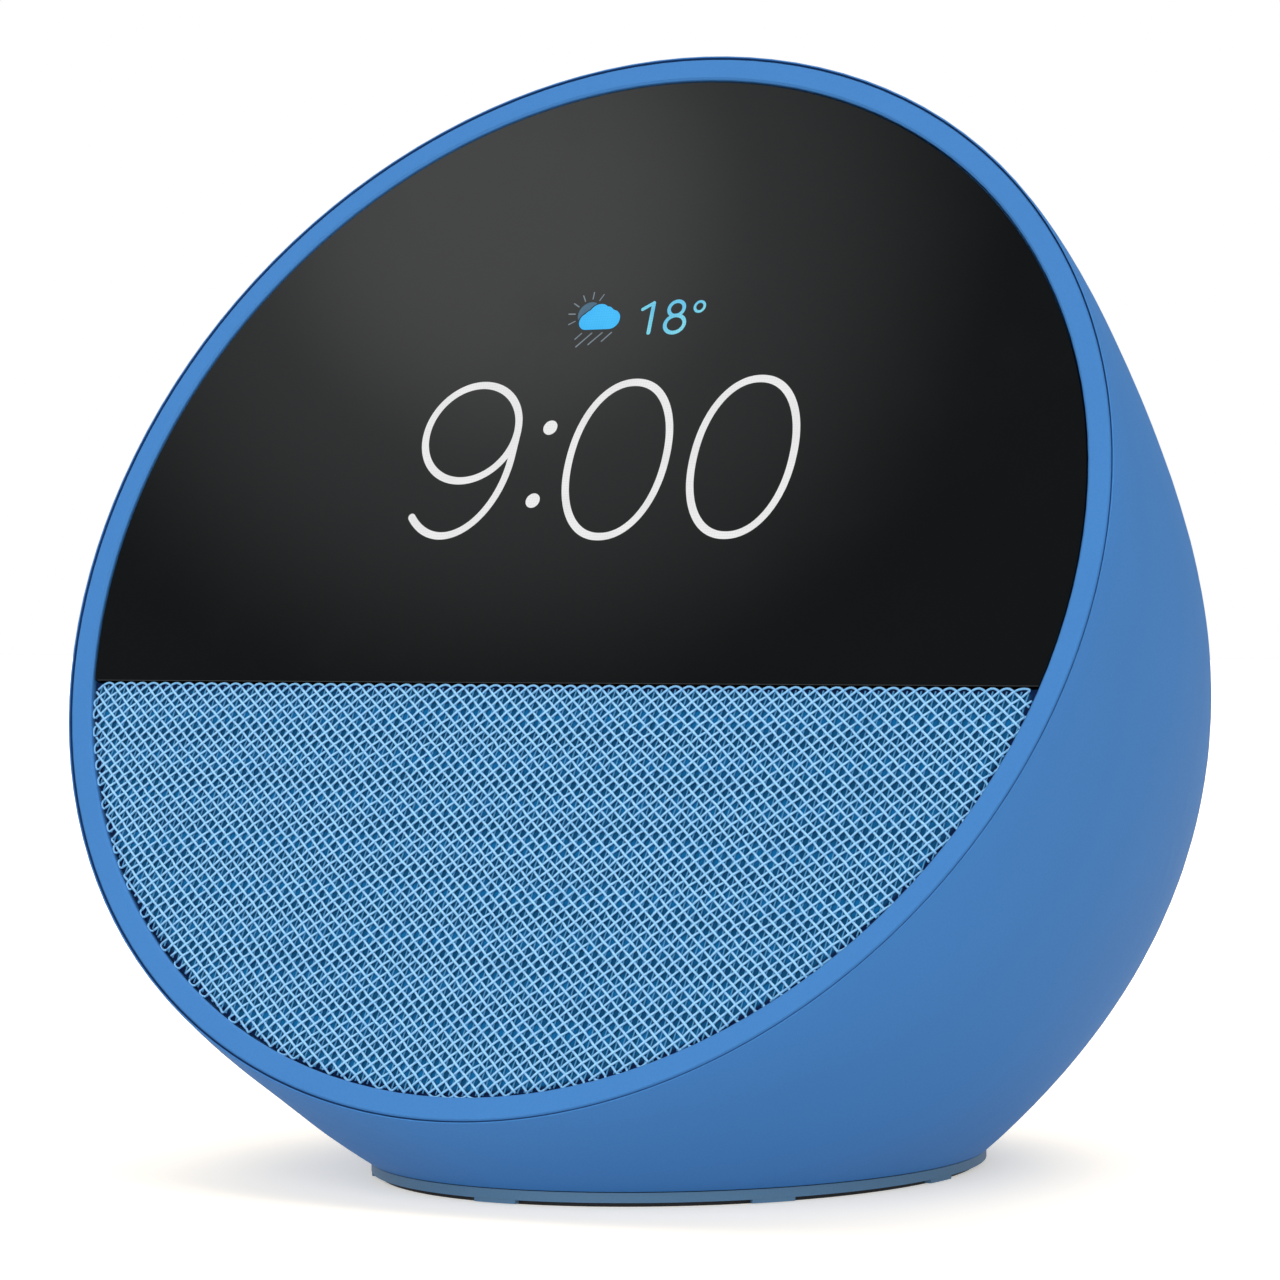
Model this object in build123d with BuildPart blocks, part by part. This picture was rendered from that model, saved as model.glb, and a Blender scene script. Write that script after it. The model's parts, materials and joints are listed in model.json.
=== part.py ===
"""Round smart display: a tilted clock face with a speaker grille below it, on an egg-shaped rear housing.

Frame: millimetres, +Z up, the face looks towards -Y, the origin is at the middle of the foot pad.
Everything behind the face is placed by its depth, measured square to the face, and everything in the
housing's skin by sections that fan out from the line where the face's plane meets the base's plane.
"""
from build123d import *
from math import asin, atan2, cos, degrees, hypot, pi, radians, sin, tan
import os

os.makedirs("parts", exist_ok=True)

# ---- driving dimensions ----
face_radius = 56.7          # outer edge of the housing at the face
face_tilt = 24.7            # degrees the face leans back from upright
face_y = -23.3              # centre of the face
face_z = 60.1
base_half_width = 29.2      # oval base of the housing
base_half_depth = 36.3
base_seam_z = 1.5           # where the housing ends and the base plate's rim shows
housing_wall = 2.2
housing_base_wall = 3.2     # measured in the fanned sections, so it is thinner square to the skin
split_v = -12.4             # line between the glass and the grille, up the face from its centre

bezel_outer = 56.45
bezel_inner = 54.1
bezel_depth = 2.2
bezel_draft = 0.5           # how much the bezel's edge draws in over its depth
parting_gap = 0.1
ledge_depth = 1.45          # the lens and the grille rest on this ledge
ledge_radius = 51.8
skirt_radius = 53.5
skirt_depth = 5.2

lens_recess = 0.3
lens_thickness = 1.0
lens_edge_break = 0.05
screen_v = 17.5             # middle of the screen, up the face
screen_width = 62.0
screen_height = 45.5
chassis_front = 5.3
chassis_thickness = 2.0
chassis_radius = 52.8
speaker_v = -29.5           # middle of the speaker, up the face
board_front = 9.3
board_thickness = 1.6
board_v = 19.0

button_radius = 4.5
button_spacing = 16.0
button_travel = 0.4
button_proud = 0.4
button_place = 0.87         # along the rear profile, 0 at the base and 1 at the face
inlet_radius = 4.1
inlet_z = 20.0

screw_radius = 1.0
screw_head_radius = 1.9
screw_head_height = 1.0
screw_clearance = 0.15
screw_fit = 0.02            # room between a screw and the boss it cuts into
wire_radius = 0.65

# ---- directions and planes ----
tilt = radians(face_tilt)
face_up = Vector(0, sin(tilt), cos(tilt))
face_out = Vector(0, -cos(tilt), sin(tilt))
face_centre = Vector(0, face_y, face_z)
face_plane = Plane(origin=face_centre, x_dir=(1, 0, 0), z_dir=face_out)
turning_plane = Plane(origin=face_centre, x_dir=(1, 0, 0), z_dir=face_up)       # (radius, depth)
speaker_plane = Plane(origin=face_centre + face_up * speaker_v, x_dir=(1, 0, 0), z_dir=face_up)
side_plane = Plane(origin=face_centre, x_dir=face_up, z_dir=(-1, 0, 0))         # (up the face, depth)

# the fan's axis: where the face's plane meets the plane of the base seam
fan_y = face_y - (face_z - base_seam_z) * tan(tilt)
fan_angle = pi / 2 - tilt

# rear profile of the housing, base to top of the face, as a cubic curve in (y, z)
face_top = (face_y + face_radius * sin(tilt), face_z + face_radius * cos(tilt))
face_bottom = (face_y - face_radius * sin(tilt), face_z - face_radius * cos(tilt))
rear_curve = ((base_half_depth, base_seam_z), (77.0, 45.8), (50.4, 78.9), face_top)


def depth(d):
    """The face's plane moved back into the housing by d."""
    return face_plane.offset(-d)


def rear_point(k):
    """Point (y, z) of the rear profile, k from 0 at the base to 1 at the face."""
    weights = ((1 - k) ** 3, 3 * k * (1 - k) ** 2, 3 * k * k * (1 - k), k ** 3)
    return tuple(sum(w * p[i] for w, p in zip(weights, rear_curve)) for i in (0, 1))


def section(k, inset):
    """Plane, centre height and half sizes of the elliptical section through rear point k."""
    y, z = rear_point(k)
    angle = atan2(z - base_seam_z, y - fan_y)
    ray = (cos(angle), sin(angle))
    far = hypot(y - fan_y, z - base_seam_z)
    # the front of the housing is a straight line from the bezel's lowest point to the base
    ey, ez = face_bottom[0] + base_half_depth, face_bottom[1] - base_seam_z
    near = (-base_half_depth - fan_y) * ez / (ray[0] * ez - ray[1] * ey)
    share = angle / fan_angle
    half_width = face_radius - (face_radius - base_half_width) * (1 - min(share, 1)) ** 2.65
    plane = Plane(origin=(0, fan_y, base_seam_z), x_dir=(1, 0, 0), z_dir=(0, -ray[1], ray[0]))
    return plane, (near + far) / 2, half_width - inset, (far - near) / 2 - inset


def housing_solid(wall=0.0, base_wall=0.0):
    """The egg shape, drawn in by a wall that grows towards the base."""
    steps = (0, 0.09, 0.2, 0.34, 0.5, 0.66, 0.82, 1)
    corners = [2 * pi * i / 16 for i in range(16)]
    with BuildPart() as egg:
        for k in steps:
            plane, centre, rx, ry = section(k, base_wall + (wall - base_wall) * k)
            with BuildSketch(plane):
                with BuildLine():
                    Spline([(rx * cos(a), centre + ry * sin(a)) for a in corners], periodic=True)
                make_face()
        loft()
    return egg.part


def turn(plane, points, mode=Mode.ADD):
    """Turn a closed outline of (radius, depth) points about the plane's own depth axis."""
    with BuildSketch(plane) as outline:
        with BuildLine():
            Polyline(*points, close=True)
        make_face()
    revolve(outline.sketch, axis=Axis(plane.origin, plane.y_dir), mode=mode)


def disc(plane, places, radius, height, mode=Mode.ADD):
    """Round pegs or holes at the places on a plane, running back from it by height."""
    with BuildSketch(plane) as circles:
        with Locations(*places):
            Circle(radius)
    extrude(circles.sketch, amount=-height, mode=mode)


def block(plane, size, place=(0, 0), corner=0.0, mode=Mode.ADD):
    """A rectangular block (width, height, thickness) running back from a plane."""
    with BuildSketch(plane) as outline:
        with Locations(place):
            if corner:
                RectangleRounded(size[0], size[1], corner)
            else:
                Rectangle(size[0], size[1])
    extrude(outline.sketch, amount=-size[2], mode=mode)


def segment(plane, radius, cut, above, thickness, mode=Mode.ADD):
    """The part of a disc above or below a level line across the face."""
    with BuildSketch(plane) as outline:
        Circle(radius)
        shift = cut + radius if above else cut - radius
        with Locations((0, shift)):
            Rectangle(2 * radius, 2 * radius, mode=Mode.INTERSECT)
    extrude(outline.sketch, amount=-thickness, mode=mode)


def screws(plane, places, length):
    """Pan-head screws whose heads stand on the plane's outer side and whose shanks run in by length."""
    disc(plane, places, screw_radius, length)
    disc(plane, places, screw_head_radius, -screw_head_height)
    disc(plane.offset(screw_head_height), places, 0.7, 0.5, Mode.SUBTRACT)


def save(builder, name):
    """Label a finished piece and write it under its own name."""
    builder.part.label = name
    export_step(builder.part, f"parts/{name}.step")


# ---- places ----
bezel_screw_radius = 49.2
bezel_screw_places = [
    (bezel_screw_radius * cos(radians(a)), bezel_screw_radius * sin(radians(a))) for a in (0, 90, 180, 235, 305)
]
board_screw_places = [(x, board_v + v) for x in (-28, 28) for v in (-16, 16)]
speaker_ear_places = [
    (24.5 * cos(radians(a)), speaker_v + 24.5 * sin(radians(a))) for a in (25, 155, 205, 335)
]
box_ear_places = [(-24.6, speaker_v), (24.6, speaker_v), (0, speaker_v + 24.6)]
base_screw_places = [(x, y) for x in (-17, 17) for y in (-20, 20)]
power_screw_places = [(x, y) for x in (-8.5, 8.5) for y in (15, 29)]

button_y, button_z = rear_point(button_place)
near_y, near_z = rear_point(button_place - 0.01)
button_lean = atan2(button_z - near_z, near_y - button_y)
button_out = Vector(0, sin(button_lean), cos(button_lean))
button_plane = Plane(origin=(0, button_y, button_z), x_dir=(1, 0, 0), z_dir=button_out)
button_places = [(i * button_spacing, 0) for i in (-1, 0, 1)]
switch_top = -8.6           # all below are heights on the button plane
switch_height = 2.4
plunger_height = 1.0
plunger_radius = 1.2
button_board_top = switch_top - plunger_height - switch_height
button_board_thickness = 1.2
button_board_screw_places = [(-8, 0), (8, 0)]
microphone_places = [(-23.5, 0), (23.5, 0)]
microphone_height = 1.0

inlet_plane = Plane(origin=(0, 40, inlet_z), x_dir=(1, 0, 0), z_dir=(0, -1, 0))
jack_socket_floor = 11.0    # in from the inlet plane

base_plane = Plane.XY
pad_thickness = 0.45
base_top = 3.5              # upper face of the base plate, inside the housing
rim_tab_bottom = 0.08       # short tabs under the base plate's rim, beside the pad
rim_tab_width = 4.5
power_board_z = 13.0

housing = housing_solid()
cavity = housing_solid(housing_wall, housing_base_wall)

# ---- rear housing ----
with BuildPart() as housing_ribs:
    disc(base_plane.offset(10), base_screw_places, 2.6, 10 - base_top - 0.2)
    for x, y in base_screw_places:
        side = 1 if x > 0 else -1
        block(base_plane.offset(10), (16, 2, 10 - base_top - 0.2), (x + 8 * side, y))
    disc(inlet_plane, [(0, 0)], inlet_radius + 2.1, 12)
    disc(button_plane, button_board_screw_places, 2.0, -button_board_top)
    add(housing_solid(0.6, 0.9), mode=Mode.INTERSECT)

with BuildPart() as rear_shell:
    add(housing)
    add(cavity, mode=Mode.SUBTRACT)
    turn(turning_plane, [
        (0, -1), (bezel_outer + parting_gap, -1), (bezel_outer + parting_gap, 0),
        (bezel_outer + parting_gap - bezel_draft, bezel_depth + parting_gap), (0, bezel_depth + parting_gap),
    ], Mode.SUBTRACT)
    add(housing_ribs.part)
    disc(base_plane.offset(10 - 1.0), base_screw_places, screw_radius + screw_fit, 9, Mode.SUBTRACT)
    disc(inlet_plane, [(0, 0)], inlet_radius, 20, Mode.SUBTRACT)
    disc(inlet_plane, [(0, 0)], inlet_radius, -1, Mode.SUBTRACT)
    disc(button_plane.offset(5), button_places, button_radius + 0.25, 12.5, Mode.SUBTRACT)
    disc(button_plane.offset(button_board_top + 5), button_board_screw_places, screw_radius + screw_fit, 5,
         Mode.SUBTRACT)
    disc(button_plane.offset(2), microphone_places, 0.5, 14, Mode.SUBTRACT)
save(rear_shell, "rear_shell")

# ---- front ring ----
with BuildPart() as front_bezel:
    turn(turning_plane, [
        (bezel_inner, 0.2), (bezel_inner + 0.2, 0), (bezel_outer - 0.2, 0), (bezel_outer, 0.2),
        (bezel_outer - bezel_draft, bezel_depth), (skirt_radius, bezel_depth), (skirt_radius, skirt_depth),
        (ledge_radius, skirt_depth), (ledge_radius, ledge_depth), (bezel_inner, ledge_depth),
    ])
    disc(depth(ledge_depth), bezel_screw_places, 2.7, skirt_depth - ledge_depth)
    disc(depth(2.6), bezel_screw_places, screw_radius + screw_fit, skirt_depth, Mode.SUBTRACT)
save(front_bezel, "front_bezel")

# ---- display stack ----
lens_back = lens_recess + lens_thickness
with BuildPart() as display_lens:
    segment(depth(lens_recess), bezel_inner - 0.2, split_v + 0.1, True, lens_thickness)
    front_edges = display_lens.faces().sort_by(Axis(face_centre, face_out))[-1].edges()
    chamfer(front_edges, lens_edge_break)
save(display_lens, "display_lens")

with BuildPart() as lens_adhesive:
    segment(depth(lens_back), bezel_inner - 0.6, split_v + 0.4, True, ledge_depth - lens_back)
    segment(depth(lens_back), ledge_radius + 0.1, split_v + 1.6, True, 1, Mode.SUBTRACT)
save(lens_adhesive, "lens_adhesive")

panel_front = lens_back + 0.2
panel_back = panel_front + 1.2
backlight_back = panel_back + 1.6
with BuildPart() as touch_sensor:
    block(depth(lens_back), (screen_width + 0.4, screen_height + 0.4, 0.2), (0, screen_v), 0.8)
save(touch_sensor, "touch_sensor")

with BuildPart() as lcd_panel:
    block(depth(panel_front), (screen_width, screen_height, 1.2), (0, screen_v), 0.6)
save(lcd_panel, "lcd_panel")

with BuildPart() as backlight_unit:
    block(depth(panel_back), (screen_width - 0.4, screen_height - 0.4, 1.6), (0, screen_v), 0.6)
save(backlight_unit, "backlight_unit")

with BuildPart() as lcd_tray:
    block(depth(panel_back + 0.2), (screen_width + 1.4, screen_height + 1.4, 1.9), (0, screen_v), 3.0)
    block(depth(panel_back), (screen_width - 0.3, screen_height - 0.3, 1.6), (0, screen_v), 0.7, Mode.SUBTRACT)
    block(depth(backlight_back - 0.1), (40, 24, 2), (0, screen_v), 3.0, Mode.SUBTRACT)
save(lcd_tray, "lcd_tray")

sensor_place = (-14.0, 45.4)
with BuildPart() as light_sensor:
    block(depth(lens_back + 0.05), (2.4, 2.0, 0.8), sensor_place)
    block(depth(lens_back + 0.85), (6.0, 4.4, 0.6), sensor_place)
save(light_sensor, "light_sensor")

# ---- speaker grille ----
with BuildPart() as grille_fabric:
    segment(depth(0.35), bezel_inner - 0.15, split_v - 0.1, False, 0.4)
save(grille_fabric, "grille_fabric")

with BuildPart() as grille_frame:
    segment(depth(0.75), bezel_inner - 0.15, split_v - 0.1, False, ledge_depth - 0.75)
    with BuildSketch(depth(0.75)) as perforation:
        with Locations((0, speaker_v)):
            with HexLocations(1.75, 11, 11):
                Circle(1.2)
            Circle(19.0, mode=Mode.INTERSECT)
    extrude(perforation.sketch, amount=-1, mode=Mode.SUBTRACT)
save(grille_frame, "grille_frame")

# ---- chassis that carries the screen, the speaker and the main board ----
chassis_back = chassis_front + chassis_thickness
with BuildPart() as chassis_plate:
    disc(depth(chassis_front), [(0, 0)], chassis_radius, chassis_thickness)
    disc(depth(chassis_back), board_screw_places, 2.3, board_front - chassis_back)
    disc(depth(chassis_front), [(0, speaker_v)], 20.5, 9, Mode.SUBTRACT)
    block(depth(chassis_front), (24, 2.4, 3), (0, 43.5), mode=Mode.SUBTRACT)
    block(depth(chassis_front), (36, 20, 3), (0, screen_v), 3.0, Mode.SUBTRACT)
    disc(depth(chassis_front), bezel_screw_places, screw_radius + screw_clearance, 3, Mode.SUBTRACT)
    disc(depth(chassis_front), board_screw_places + speaker_ear_places + box_ear_places,
         screw_radius + screw_fit, 9, Mode.SUBTRACT)
save(chassis_plate, "chassis_plate")

with BuildPart() as chassis_screws:
    screws(Plane(origin=depth(chassis_back).origin, x_dir=(1, 0, 0), z_dir=-face_out),
           [(x, -v) for x, v in bezel_screw_places], chassis_back - 2.7)
save(chassis_screws, "chassis_screws")

# ---- loudspeaker, turned about its own axis square to the face ----
with BuildPart() as speaker_gasket:
    turn(speaker_plane, [(20.4, ledge_depth), (21.9, ledge_depth), (21.9, 4.1), (20.4, 4.1)])
save(speaker_gasket, "speaker_gasket")

with BuildPart() as speaker_basket:
    turn(speaker_plane, [
        (19.2, 4.1), (22.0, 4.1), (22.0, chassis_front), (20.1, chassis_front), (20.1, 8.3), (14.2, 13.2),
        (9.0, 13.2), (9.0, 12.2), (13.6, 12.2), (19.2, 7.7),
    ])
    disc(depth(4.1), speaker_ear_places, 2.7, chassis_front - 4.1)
    disc(depth(4.0), speaker_ear_places, screw_radius + screw_clearance, 2, Mode.SUBTRACT)
    for angle in (45, 135, 225, 315):
        window = Plane(origin=speaker_plane.origin - face_out * 8.7,
                       x_dir=Vector(1, 0, 0) * cos(radians(angle)) + face_up * sin(radians(angle)), z_dir=face_out)
        block(window, (12, 11, 2.6), (19, 0), mode=Mode.SUBTRACT)
save(speaker_basket, "speaker_basket")

with BuildPart() as speaker_surround:
    with BuildSketch(speaker_plane):
        with BuildLine():
            Line((15.2, 3.7), (16.0, 3.7))
            ThreePointArc((16.0, 3.7), (17.7, 2.0), (19.4, 3.7))
            Polyline((19.4, 3.7), (20.2, 3.7), (20.2, 4.1), (19.05, 4.1), (19.05, 3.7))
            ThreePointArc((19.05, 3.7), (17.7, 2.35), (16.35, 3.7))
            Polyline((16.35, 3.7), (16.35, 4.1), (15.2, 4.1), (15.2, 3.7))
        make_face()
    revolve(axis=Axis(speaker_plane.origin, speaker_plane.y_dir))
save(speaker_surround, "speaker_surround")

with BuildPart() as speaker_cone:
    turn(speaker_plane, [(16.2, 4.1), (15.2, 4.1), (6.62, 9.4), (6.62, 9.95), (15.35, 4.5), (16.2, 4.5)])
save(speaker_cone, "speaker_cone")

cap_sphere = 11.73
cap_middle = (0, 6.65 + cap_sphere)
cap_angle = degrees(asin(6.55 / cap_sphere))
with BuildPart() as dust_cap:
    with BuildSketch(speaker_plane):
        with BuildLine():
            outer = CenterArc(cap_middle, cap_sphere, -90, cap_angle)
            inner = CenterArc(cap_middle, cap_sphere - 0.4, -90, cap_angle)
            Line(outer @ 0, inner @ 0)
            Line(outer @ 1, inner @ 1)
        make_face()
    revolve(axis=Axis(speaker_plane.origin, speaker_plane.y_dir))
save(dust_cap, "dust_cap")

with BuildPart() as voice_coil:
    turn(speaker_plane, [(6.2, 9.0), (6.6, 9.0), (6.6, 13.4), (7.0, 13.4), (7.0, 17.0), (6.2, 17.0)])
save(voice_coil, "voice_coil")

with BuildPart() as spider:
    crests = [(6.65 + 7.6 * i / 8, 11.0 + 0.5 * (i % 2)) for i in range(9)]
    turn(speaker_plane, crests + [(r, d + 0.3) for r, d in reversed(crests)])
save(spider, "spider")

with BuildPart() as top_plate:
    turn(speaker_plane, [(7.4, 13.2), (13.5, 13.2), (13.5, 15.2), (7.4, 15.2)])
save(top_plate, "top_plate")

with BuildPart() as magnet:
    turn(speaker_plane, [(8.6, 15.2), (15.0, 15.2), (15.0, 19.2), (8.6, 19.2)])
save(magnet, "magnet")

with BuildPart() as yoke:
    turn(speaker_plane, [(1.5, 12.6), (5.7, 12.6), (5.7, 19.2), (13.5, 19.2), (13.5, 21.2), (1.5, 21.2)])
save(yoke, "yoke")

with BuildPart() as speaker_screws:
    screws(depth(4.1), speaker_ear_places, 3.1)
save(speaker_screws, "speaker_screws")

with BuildPart() as speaker_box:
    for radius, d, v in ((22.6, chassis_back, speaker_v), (17.5, 24.6, speaker_v + 1.5)):
        with BuildSketch(depth(d)):
            with Locations((0, v)):
                Circle(radius)
    loft()
    disc(depth(chassis_back), box_ear_places, 2.7, 1.6)
    with BuildSketch(depth(chassis_back)):
        with Locations((0, speaker_v)):
            Circle(21.0)
    with BuildSketch(depth(23.0)):
        with Locations((0, speaker_v + 1.4)):
            Circle(16.3)
    loft(mode=Mode.SUBTRACT)
    disc(depth(chassis_back), box_ear_places, screw_radius + screw_clearance, 2, Mode.SUBTRACT)
save(speaker_box, "speaker_box")

with BuildPart() as box_screws:
    screws(Plane(origin=depth(chassis_back + 1.6).origin, x_dir=(1, 0, 0), z_dir=-face_out),
           [(x, -v) for x, v in box_ear_places], 3.3)
save(box_screws, "box_screws")

# ---- main board and what stands on it ----
board_back = board_front + board_thickness
with BuildPart() as main_board:
    block(depth(board_front), (64, 40, board_thickness), (0, board_v), 3.0)
    disc(depth(board_front), board_screw_places, screw_radius + screw_clearance, 3, Mode.SUBTRACT)
save(main_board, "main_board")

with BuildPart() as board_chips:
    block(depth(board_back), (12, 12, 1.2), (-5, 22))
    for v in (17, 27):
        block(depth(board_back), (9, 7.5, 1.0), (8, v))
    block(depth(board_back), (9, 9, 1.4), (-22, 10))
    block(depth(board_back), (6, 6, 1.0), (22, 12))
    block(depth(board_back), (14, 3.6, 2.4), (16, 2.6))
    block(depth(board_back), (9, 3, 1.0), (-20, 33))
save(board_chips, "board_chips")

with BuildPart() as shield_can:
    block(depth(board_back), (30, 26, 2.2), (0, 22))
    block(depth(board_back), (29.2, 25.2, 1.8), (0, 22), mode=Mode.SUBTRACT)
save(shield_can, "shield_can")

with BuildPart() as thermal_pad:
    block(depth(board_back + 2.2), (24, 20, 0.8), (0, 22))
save(thermal_pad, "thermal_pad")

sink_front = board_back + 3.0
with BuildPart() as heat_sink:
    block(depth(sink_front), (30, 26, 1.5), (0, 22))
    for i in range(7):
        block(depth(sink_front + 1.5), (1.4, 26, 5.0), (-14.3 + 28.6 * i / 6, 22))
save(heat_sink, "heat_sink")

with BuildPart() as board_screws:
    screws(Plane(origin=depth(board_back).origin, x_dir=(1, 0, 0), z_dir=-face_out),
           [(x, -v) for x, v in board_screw_places], 3.2)
save(board_screws, "board_screws")

with BuildPart() as antennas:
    for x in (-41, 41):
        block(depth(chassis_back), (8, 30, 0.3), (x, 8), 1.0)
save(antennas, "antennas")

# ---- ribbons and wires ----
def ribbon(points, width, x):
    """A flat flex along (up the face, depth) points, centred at x."""
    with BuildSketch(side_plane.offset(-x)) as strip:
        with BuildLine() as route:
            FilletPolyline(*points, radius=0.8)
        trace(route.line, line_width=0.2)
    extrude(strip.sketch, amount=width / 2, both=True)


def inside(x, v, d):
    """A point behind the face: across it, up it, and back from it."""
    return face_centre + Vector(x, v * face_up.Y - d * face_out.Y, v * face_up.Z - d * face_out.Z)


def wire(points, bend):
    """One insulated wire along a run of points."""
    with BuildLine() as path:
        FilletPolyline(*points, radius=bend)
    with BuildSketch(Plane(origin=path.line @ 0, z_dir=path.line % 0)) as round_section:
        Circle(wire_radius)
    sweep(round_section.sketch, path=path.line)


with BuildPart() as speaker_wires:
    for x in (-8, -10.5):
        wire([inside(x, -8.6, 12), inside(x, -2, 12), inside(x, 4, 12.6), inside(x, 5, board_back + 0.7)], 1.0)
save(speaker_wires, "speaker_wires")

with BuildPart() as power_wires:
    for x in (2, 4.5):
        wire([
            Vector(x, 22, power_board_z + board_thickness), Vector(x, 22, 30), Vector(x + 11, 4, 46),
            inside(x + 12, 2.6, 18), inside(x + 12, 2.6, board_back + 2.4),
        ], 2.0)
save(power_wires, "power_wires")

with BuildPart() as display_flex:
    ribbon([(40.4, 2.1), (43.5, 2.1), (43.5, 9.0), (36.5, 9.0)], 20, 0)
save(display_flex, "display_flex")

# ---- buttons along the top of the housing ----
def button(x, name):
    """One push button: its top follows the housing and stands a little proud of it."""
    with BuildPart() as cap:
        disc(button_plane.offset(4), [(x, 0)], button_radius, 4 - switch_top)
        add(Location(button_out * button_proud) * housing, mode=Mode.INTERSECT)
        disc(button_plane.offset(switch_top + 1.0), [(x, 0)], button_radius + 0.9, 1.0)
    save(cap, name)
    with BuildPart() as plunger:
        disc(button_plane.offset(switch_top), [(x, 0)], plunger_radius, plunger_height)
    save(plunger, name.replace("button", "plunger"))


button(-button_spacing, "volume_down_button")
button(0, "microphone_button")
button(button_spacing, "volume_up_button")

switch_plane = button_plane.offset(switch_top - plunger_height)
with BuildPart() as button_switches:
    for x, y in button_places:
        block(switch_plane, (6, 6, switch_height), (x, y))
    disc(switch_plane, button_places, plunger_radius + 0.15, button_travel + 0.4, Mode.SUBTRACT)
save(button_switches, "button_switches")

with BuildPart() as button_board:
    block(button_plane.offset(button_board_top), (54, 12, button_board_thickness), corner=2.0)
    disc(button_plane.offset(button_board_top), button_board_screw_places, screw_radius + screw_clearance, 2,
         Mode.SUBTRACT)
    disc(button_plane.offset(button_board_top), microphone_places, 0.4, 2, Mode.SUBTRACT)
save(button_board, "button_board")

with BuildPart() as microphones:
    for place in microphone_places:
        block(button_plane.offset(button_board_top + microphone_height), (3.5, 2.7, microphone_height), place)
    disc(button_plane.offset(button_board_top + microphone_height), microphone_places, 0.4, 0.5, Mode.SUBTRACT)
save(microphones, "microphones")

with BuildPart() as microphone_seals:
    seal_plane = button_plane.offset(button_board_top + microphone_height + 1.6)
    disc(seal_plane, microphone_places, 1.7, 1.6)
    disc(seal_plane, microphone_places, 0.6, 1.6, Mode.SUBTRACT)
save(microphone_seals, "microphone_seals")

under_board = button_board_top - button_board_thickness
with BuildPart() as button_board_screws:
    screws(Plane(origin=button_plane.offset(under_board).origin, x_dir=(1, 0, 0), z_dir=-button_out),
           button_board_screw_places, 4.4)
save(button_board_screws, "button_board_screws")

with BuildPart() as button_flex:
    ribbon([(35.4, 11.1), (36.2, 11.1), (36.2, 15.5), (39.5, 19.0)], 7, -20)
save(button_flex, "button_flex")

# ---- base ----
with BuildPart() as base_plate:
    with BuildSketch(base_plane.offset(pad_thickness)):
        Ellipse(base_half_width - 0.15, base_half_depth - 0.15)
    extrude(amount=base_seam_z - 0.1 - pad_thickness)
    with BuildSketch(base_plane.offset(base_seam_z - 0.1)):
        Ellipse(base_half_width - housing_base_wall - 0.3, base_half_depth - housing_base_wall - 0.3)
    extrude(amount=base_top - base_seam_z + 0.1)
    disc(base_plane.offset(power_board_z), power_screw_places, 2.4, power_board_z - base_top)
    with BuildSketch(base_plane.offset(rim_tab_bottom)) as rim_tabs:
        Ellipse(base_half_width - 0.2, base_half_depth - 0.2)
        Ellipse(base_half_width - 0.9, base_half_depth - 0.9, mode=Mode.SUBTRACT)
        with BuildSketch(mode=Mode.INTERSECT):
            with PolarLocations(0, 8):
                Rectangle(3 * base_half_depth, rim_tab_width)
    extrude(amount=pad_thickness - rim_tab_bottom)
    disc(base_plane.offset(base_top + 1), base_screw_places, screw_radius + screw_clearance, 6, Mode.SUBTRACT)
    disc(base_plane.offset(pad_thickness + 1.3), base_screw_places, screw_head_radius + 0.3, 2, Mode.SUBTRACT)
    disc(base_plane.offset(power_board_z), power_screw_places, screw_radius + screw_fit, 5, Mode.SUBTRACT)
save(base_plate, "base_plate")

with BuildPart() as foot_pad:
    with BuildSketch(base_plane):
        Ellipse(base_half_width - 1.0, base_half_depth - 1.0)
    extrude(amount=pad_thickness)
save(foot_pad, "foot_pad")

with BuildPart() as base_screws:
    screws(Plane(origin=(0, 0, pad_thickness + 1.3), x_dir=(1, 0, 0), z_dir=(0, 0, -1)), base_screw_places, 7)
save(base_screws, "base_screws")

# ---- power inlet ----
with BuildPart() as power_board:
    block(base_plane.offset(power_board_z + board_thickness), (22, 24, board_thickness), (0, 22), 1.5)
    disc(base_plane.offset(power_board_z + board_thickness), power_screw_places, screw_radius + screw_clearance, 3,
         Mode.SUBTRACT)
save(power_board, "power_board")

with BuildPart() as power_board_screws:
    screws(base_plane.offset(power_board_z + board_thickness), power_screw_places, 6)
save(power_board_screws, "power_board_screws")

jack_bottom = power_board_z + board_thickness
with BuildPart() as dc_jack:
    block(base_plane.offset(jack_bottom + 11), (9.4, 14, 11), (0, 32.4))
    disc(inlet_plane.offset(-1), [(0, 0)], 2.8, -jack_socket_floor - 1, Mode.SUBTRACT)
save(dc_jack, "dc_jack")

with BuildPart() as dc_jack_pin:
    disc(inlet_plane.offset(jack_socket_floor), [(0, 0)], 1.0, 9)
save(dc_jack_pin, "dc_jack_pin")
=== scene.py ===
"""Looks of the round smart display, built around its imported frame.

It adds the finishes, the knitted grille, the speaker's soft rings, the clock and the buttons' icons.

Places on the face are (across, up, out) in millimetres from the middle of the front ring's face.
"""
import json
from math import atan2, copysign, cos, pi, radians, sin, sqrt

import bpy
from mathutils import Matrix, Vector, noise
from mathutils.bvhtree import BVHTree


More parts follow.
